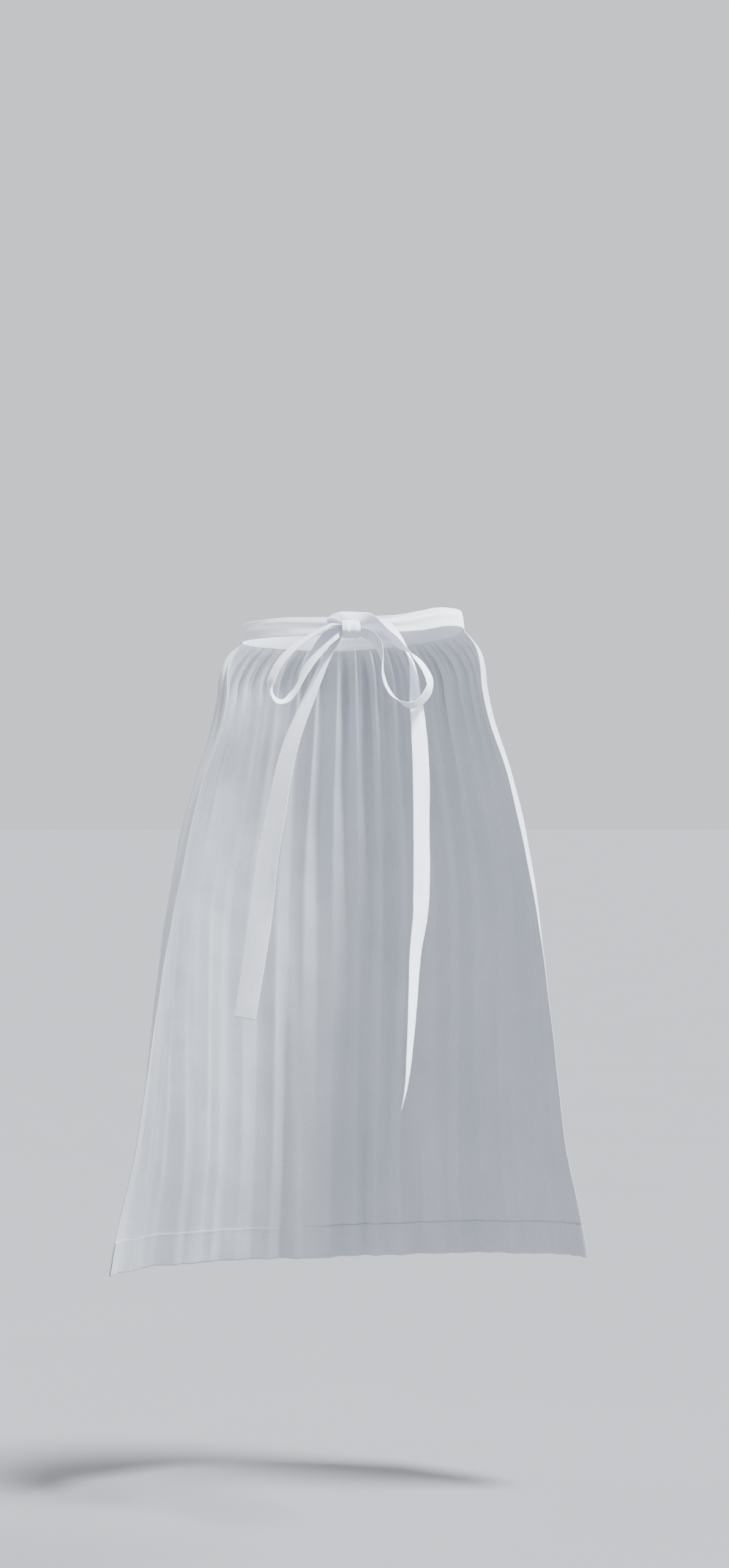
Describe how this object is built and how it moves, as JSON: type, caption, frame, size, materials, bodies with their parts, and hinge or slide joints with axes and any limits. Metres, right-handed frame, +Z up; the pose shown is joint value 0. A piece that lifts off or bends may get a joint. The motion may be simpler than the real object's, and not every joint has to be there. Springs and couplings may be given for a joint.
{
  "type": "medieval half apron",
  "caption": "Half apron: a hemmed panel gathered into a tie that goes round the waist and ends in a bow with hanging tails at the back.",
  "frame": {"origin": "middle of the waist, inside the tie that goes round it", "axes": "+Z up, -Y towards the front of the garment, +X towards its left side"},
  "size_m": [0.5726, 0.4411, 0.7941],
  "materials": {
    "cotton_panel": "plain woven white cotton, matt",
    "cotton_tie": "pressed white cotton tape, matt"
  },
  "bodies": {
    "root": {"panel": "cotton_panel", "bottom_hem": "cotton_panel", "side_hem_left": "cotton_panel", "side_hem_right": "cotton_panel", "waistband_front": "cotton_tie", "waist_tape_left": "cotton_tie", "waist_tape_right": "cotton_tie", "knot_wrap": "cotton_tie", "left_loop": "cotton_tie", "right_loop": "cotton_tie", "left_tail": "cotton_tie", "right_tail": "cotton_tie"}
  },
  "joints": []
}
